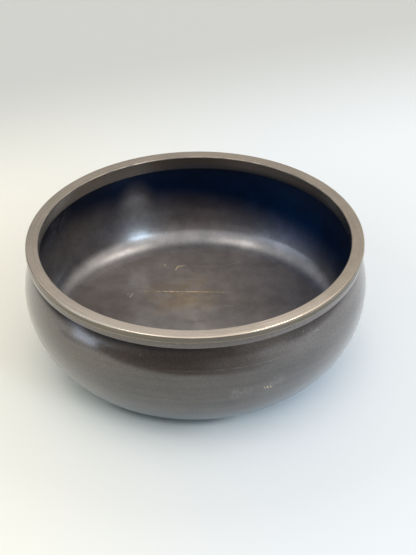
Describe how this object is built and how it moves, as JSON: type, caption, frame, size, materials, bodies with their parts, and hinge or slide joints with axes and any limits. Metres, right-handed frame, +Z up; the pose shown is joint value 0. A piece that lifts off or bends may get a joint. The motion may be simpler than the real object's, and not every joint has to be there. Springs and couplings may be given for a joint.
{
  "type": "waste water bowl",
  "caption": "Low round bowl of dark patinated bronze with a thick flat rim, rounded belly, raised floor and ring foot, which takes the rinse water in the tea room.",
  "frame": {"origin": "on the table, in the middle of the foot ring", "axes": "+Z up along the axis the bowl is turned about; X and Y are any two level directions"},
  "size_m": [0.16, 0.16, 0.061],
  "materials": {
    "patinated_bronze": "dark brown patina, burnished to a soft gloss",
    "rubbed_bronze": "lighter brown, satin, rubbed by use",
    "solder": "dull grey metal"
  },
  "bodies": {
    "root": {"bowl_shell": "patinated_bronze", "rim_ring": "rubbed_bronze", "base_plate": "patinated_bronze", "rim_solder": "solder", "base_solder": "solder"}
  },
  "joints": []
}
